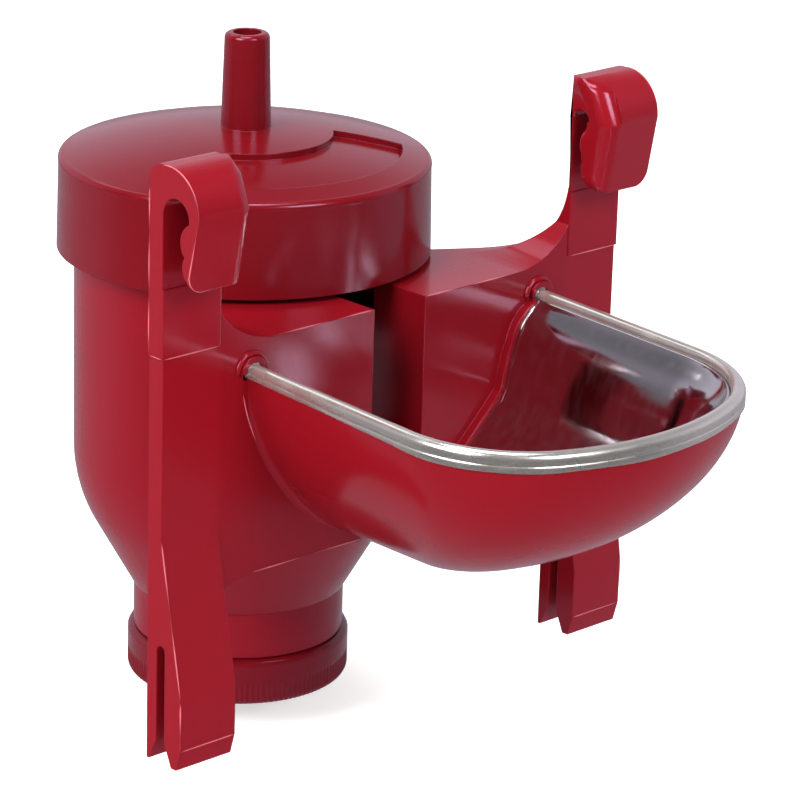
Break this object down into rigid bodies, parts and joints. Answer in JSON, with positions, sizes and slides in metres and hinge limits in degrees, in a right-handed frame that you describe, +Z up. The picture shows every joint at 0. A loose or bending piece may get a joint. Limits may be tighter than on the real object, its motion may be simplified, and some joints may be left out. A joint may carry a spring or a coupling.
{
  "type": "cage drinker",
  "caption": "Cage-hung animal drinker: round float tank with domed lid and hose spigot, feeding an open bowl with a folded steel edge guard.",
  "frame": {"origin": "middle of the hanging wire's centre line, half way between the hooks' two seats", "axes": "+X along the hanging wire, +Z up, -Y out over the bowl, so that the tank stands behind the cage face at +Y"},
  "size_m": [0.1222, 0.1587, 0.1377],
  "materials": {
    "red_moulding": "glossy moulded polypropylene, dark cherry red",
    "steel_sheet": "bright pressed stainless sheet",
    "brass_jet": "turned",
    "white_moulding": "natural white moulding",
    "black_rubber": "smooth rubber"
  },
  "bodies": {
    "housing": {"housing": "red_moulding", "steel_guard": "steel_sheet"},
    "lid": {"lid": "red_moulding", "valve_jet": "brass_jet", "valve_guide": "white_moulding"},
    "float": {"float_stem": "white_moulding", "float_cover": "white_moulding", "float_shell": "white_moulding", "pad_holder": "white_moulding", "valve_pad": "black_rubber"},
    "gasket": {"cap_gasket": "black_rubber"},
    "cap": {"bottom_cap": "red_moulding"}
  },
  "joints": [
    {"name": "lid_lift", "type": "slide", "parent": "housing", "child": "lid", "axis": [0, 0, 1], "range_m": [0, 0.022]},
    {"name": "float_rise", "type": "slide", "parent": "lid", "child": "float", "axis": [0, 0, 1], "range_m": [0, 0.0069]},
    {"name": "cap_drop", "type": "slide", "parent": "housing", "child": "gasket", "axis": [0, 0, -1], "range_m": [0, 0.006]},
    {"name": "cap_turn", "type": "hinge", "parent": "gasket", "child": "cap", "pos_m": [0, 0.04875, -0.115], "axis": [0, 0, -1], "range_deg": [0, 720]}
  ],
  "couplings": [
    {"joint": "cap_turn", "follows": "cap_drop", "rad_per_m": 2094}
  ]
}
